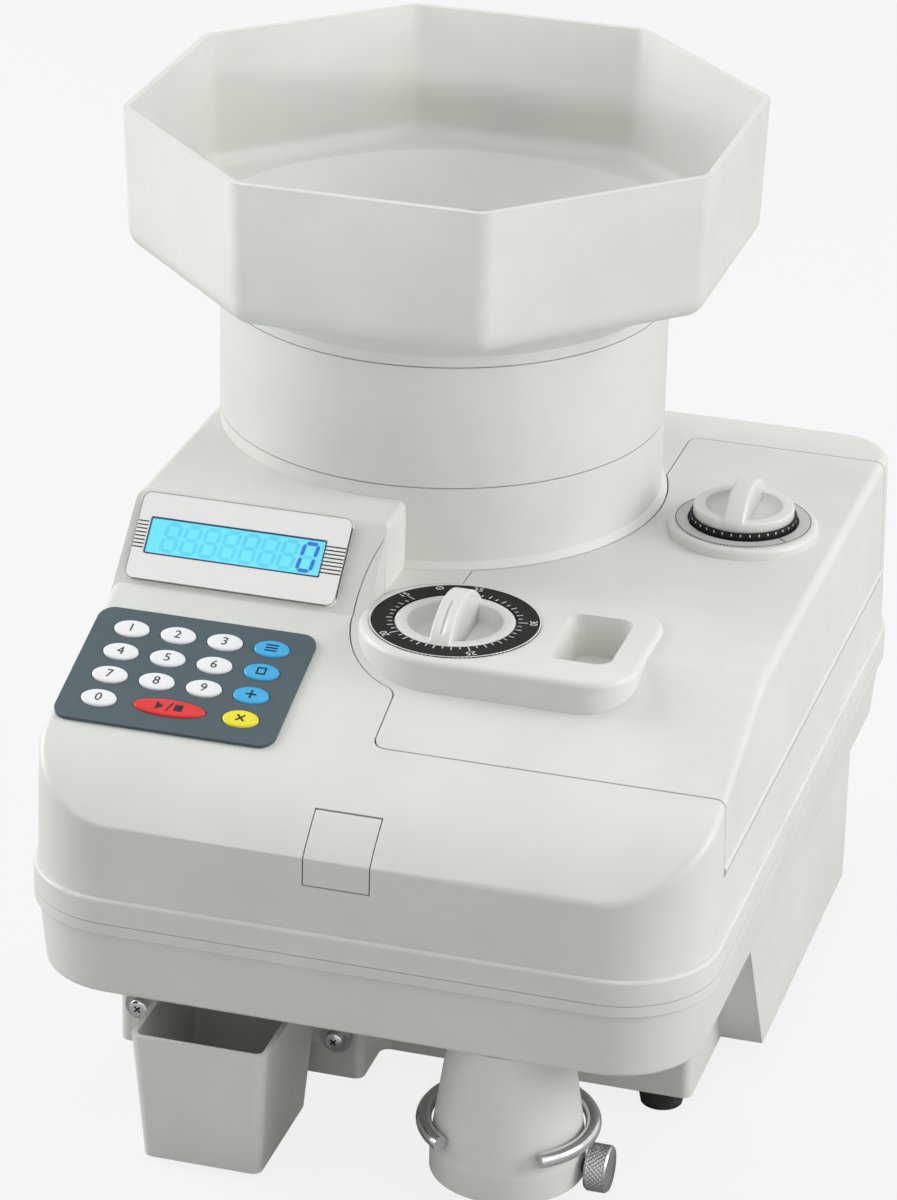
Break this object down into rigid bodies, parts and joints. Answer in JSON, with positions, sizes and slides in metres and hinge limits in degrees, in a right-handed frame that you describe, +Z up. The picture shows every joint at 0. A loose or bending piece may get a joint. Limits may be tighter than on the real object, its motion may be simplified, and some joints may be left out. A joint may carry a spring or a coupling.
{
  "type": "coin sorting machine",
  "caption": "Table-top coin sorting machine with an octagonal hopper on a round column, keypad, display, hinged side lid with two setting knobs, coin spout with bag ring and a reject bin.",
  "frame": {"origin": "on the table under the middle of the machine's outline", "axes": "+X to the machine's right seen from the front, +Y to its back, +Z up"},
  "size_m": [0.301, 0.384, 0.361],
  "materials": {
    "case_plastic": "fine satin",
    "display_face": "satin",
    "lcd_glass": "gloss",
    "keypad_face": "satin",
    "key_white": "satin",
    "key_blue": "satin",
    "key_red": "satin",
    "key_yellow": "satin",
    "circuit_board": "satin",
    "dial_black": "satin",
    "scale_grey": "satin",
    "steel": "brushed",
    "polished_disc": "polished",
    "aluminium": "satin",
    "brass": "satin",
    "black_rubber": "matt",
    "chrome": "polished",
    "black_plastic": "satin"
  },
  "bodies": {
    "case": {"lower_case": "case_plastic", "upper_case": "case_plastic", "hinge_pin": "steel", "column_base": "case_plastic", "neck_ring": "case_plastic", "display_plate": "display_face", "lcd_module": "lcd_glass", "keypad_plate": "keypad_face", "key_board": "circuit_board", "chassis_plate": "steel", "spindle_bearing": "steel", "guide_ring": "steel", "motor": "steel", "motor_bracket": "steel", "drive_belt": "black_rubber", "chassis_posts": "steel", "roller_bracket": "steel", "count_sensor": "black_plastic", "main_board": "circuit_board", "coin_chute": "black_plastic", "reject_chute": "black_plastic", "spout": "case_plastic", "bin_screws": "steel", "rubber_feet": "black_rubber", "mains_inlet": "black_plastic", "switch_frame": "black_plastic"},
    "lid": {"lid_cover": "case_plastic", "dial_ring": "dial_black", "thickness_ring": "scale_grey"},
    "hopper": {"hopper": "case_plastic"},
    "diameter_knob": {"diameter_knob": "case_plastic"},
    "thickness_knob": {"thickness_knob": "case_plastic"},
    "gauge_drum": {"gauge_drum": "brass"},
    "gauge_rail": {"gauge_rail": "aluminium"},
    "thickness_screw": {"thickness_screw": "brass"},
    "thickness_gate": {"thickness_gate": "aluminium"},
    "feed_disc": {"feed_disc": "polished_disc", "spindle": "steel"},
    "motor_rotor": {"motor_pulley": "aluminium"},
    "feed_roller": {"feed_roller": "black_rubber"},
    "front_latch": {"front_latch": "case_plastic"},
    "reject_bin": {"reject_bin": "case_plastic"},
    "bag_ring": {"bag_ring": "chrome"},
    "thumb_screw": {"thumb_screw": "steel"},
    "power_rocker": {"power_rocker": "black_plastic"},
    "key_1": {"key_1": "key_white"},
    "key_2": {"key_2": "key_white"},
    "key_3": {"key_3": "key_white"},
    "key_mem": {"key_mem": "key_blue"},
    "key_4": {"key_4": "key_white"},
    "key_5": {"key_5": "key_white"},
    "key_6": {"key_6": "key_white"},
    "key_set": {"key_set": "key_blue"},
    "key_7": {"key_7": "key_white"},
    "key_8": {"key_8": "key_white"},
    "key_9": {"key_9": "key_white"},
    "key_add": {"key_add": "key_blue"},
    "key_0": {"key_0": "key_white"},
    "key_start": {"key_start": "key_red"},
    "key_clear": {"key_clear": "key_yellow"}
  },
  "joints": [
    {"name": "lid_hinge", "type": "hinge", "parent": "case", "child": "lid", "pos_m": [0.1462, 0, 0.143], "axis": [0, 1, 0], "range_deg": [0, 75]},
    {"name": "hopper_lift", "type": "slide", "parent": "case", "child": "hopper", "axis": [0, 0, 1], "range_m": [0, 0.05]},
    {"name": "diameter_turn", "type": "hinge", "parent": "lid", "child": "diameter_knob", "pos_m": [0.0205, -0.072, 0.19], "axis": [0, 0, 1], "range_deg": [-120, 175]},
    {"name": "drum_turn", "type": "hinge", "parent": "case", "child": "gauge_drum", "pos_m": [0.0205, -0.072, 0.19], "axis": [0, 0, 1], "range_deg": [-121, 176]},
    {"name": "rail_slide", "type": "slide", "parent": "case", "child": "gauge_rail", "axis": [1, 0, 0], "range_m": [-0.0117, 0.0081]},
    {"name": "thickness_turn", "type": "hinge", "parent": "lid", "child": "thickness_knob", "pos_m": [0.106, 0.057, 0.19], "axis": [0, 0, 1], "range_deg": [-140, 140]},
    {"name": "screw_turn", "type": "hinge", "parent": "case", "child": "thickness_screw", "pos_m": [0.106, 0.057, 0.19], "axis": [0, 0, 1], "range_deg": [-141, 141]},
    {"name": "gate_slide", "type": "slide", "parent": "case", "child": "thickness_gate", "axis": [0, 0, 1], "range_m": [-0.0012, 0.0012]},
    {"name": "disc_spin", "type": "hinge", "parent": "case", "child": "feed_disc", "pos_m": [-0.0275, 0.069, 0.16], "axis": [0, 0, 1], "continuous": true},
    {"name": "motor_spin", "type": "hinge", "parent": "case", "child": "motor_rotor", "pos_m": [0.088, 0.06, 0.115], "axis": [0, 0, 1], "continuous": true},
    {"name": "roller_spin", "type": "hinge", "parent": "case", "child": "feed_roller", "pos_m": [0.082, -0.02, 0.17], "axis": [1, 0, 0], "continuous": true},
    {"name": "latch_press", "type": "slide", "parent": "case", "child": "front_latch", "axis": [0, 1, 0], "range_m": [0, 0.003], "stiffness_N_per_m": 500},
    {"name": "bin_lift", "type": "slide", "parent": "case", "child": "reject_bin", "axis": [0, 0, 1], "range_m": [0, 0.007]},
    {"name": "ring_lift", "type": "slide", "parent": "case", "child": "bag_ring", "axis": [0, 0, 1], "range_m": [0, 0.02]},
    {"name": "thumb_turn", "type": "hinge", "parent": "case", "child": "thumb_screw", "pos_m": [0.105, -0.1615, 0.017], "axis": [1, 0, 0], "continuous": true},
    {"name": "rocker_tilt", "type": "hinge", "parent": "case", "child": "power_rocker", "pos_m": [0.0945, 0.1745, 0.135], "axis": [0, 0, 1], "range_deg": [-8, 8]},
    {"name": "press_1", "type": "slide", "parent": "case", "child": "key_1", "axis": [0, 0.3223, -0.9466], "range_m": [0, 0.0006], "stiffness_N_per_m": 600},
    {"name": "press_2", "type": "slide", "parent": "case", "child": "key_2", "axis": [0, 0.3223, -0.9466], "range_m": [0, 0.0006], "stiffness_N_per_m": 600},
    {"name": "press_3", "type": "slide", "parent": "case", "child": "key_3", "axis": [0, 0.3223, -0.9466], "range_m": [0, 0.0006], "stiffness_N_per_m": 600},
    {"name": "press_mem", "type": "slide", "parent": "case", "child": "key_mem", "axis": [0, 0.3223, -0.9466], "range_m": [0, 0.0006], "stiffness_N_per_m": 600},
    {"name": "press_4", "type": "slide", "parent": "case", "child": "key_4", "axis": [0, 0.3223, -0.9466], "range_m": [0, 0.0006], "stiffness_N_per_m": 600},
    {"name": "press_5", "type": "slide", "parent": "case", "child": "key_5", "axis": [0, 0.3223, -0.9466], "range_m": [0, 0.0006], "stiffness_N_per_m": 600},
    {"name": "press_6", "type": "slide", "parent": "case", "child": "key_6", "axis": [0, 0.3223, -0.9466], "range_m": [0, 0.0006], "stiffness_N_per_m": 600},
    {"name": "press_set", "type": "slide", "parent": "case", "child": "key_set", "axis": [0, 0.3223, -0.9466], "range_m": [0, 0.0006], "stiffness_N_per_m": 600},
    {"name": "press_7", "type": "slide", "parent": "case", "child": "key_7", "axis": [0, 0.3223, -0.9466], "range_m": [0, 0.0006], "stiffness_N_per_m": 600},
    {"name": "press_8", "type": "slide", "parent": "case", "child": "key_8", "axis": [0, 0.3223, -0.9466], "range_m": [0, 0.0006], "stiffness_N_per_m": 600},
    {"name": "press_9", "type": "slide", "parent": "case", "child": "key_9", "axis": [0, 0.3223, -0.9466], "range_m": [0, 0.0006], "stiffness_N_per_m": 600},
    {"name": "press_add", "type": "slide", "parent": "case", "child": "key_add", "axis": [0, 0.3223, -0.9466], "range_m": [0, 0.0006], "stiffness_N_per_m": 600},
    {"name": "press_0", "type": "slide", "parent": "case", "child": "key_0", "axis": [0, 0.3223, -0.9466], "range_m": [0, 0.0006], "stiffness_N_per_m": 600},
    {"name": "press_start", "type": "slide", "parent": "case", "child": "key_start", "axis": [0, 0.3223, -0.9466], "range_m": [0, 0.0006], "stiffness_N_per_m": 600},
    {"name": "press_clear", "type": "slide", "parent": "case", "child": "key_clear", "axis": [0, 0.3223, -0.9466], "range_m": [0, 0.0006], "stiffness_N_per_m": 600}
  ],
  "couplings": [
    {"joint": "drum_turn", "follows": "diameter_turn", "ratio": 1},
    {"joint": "rail_slide", "follows": "diameter_turn", "m_per_rad": -0.0038},
    {"joint": "screw_turn", "follows": "thickness_turn", "ratio": 1},
    {"joint": "gate_slide", "follows": "thickness_turn", "m_per_rad": 0.00045},
    {"joint": "motor_spin", "follows": "disc_spin", "ratio": 2.5},
    {"joint": "roller_spin", "follows": "disc_spin", "ratio": 3}
  ]
}
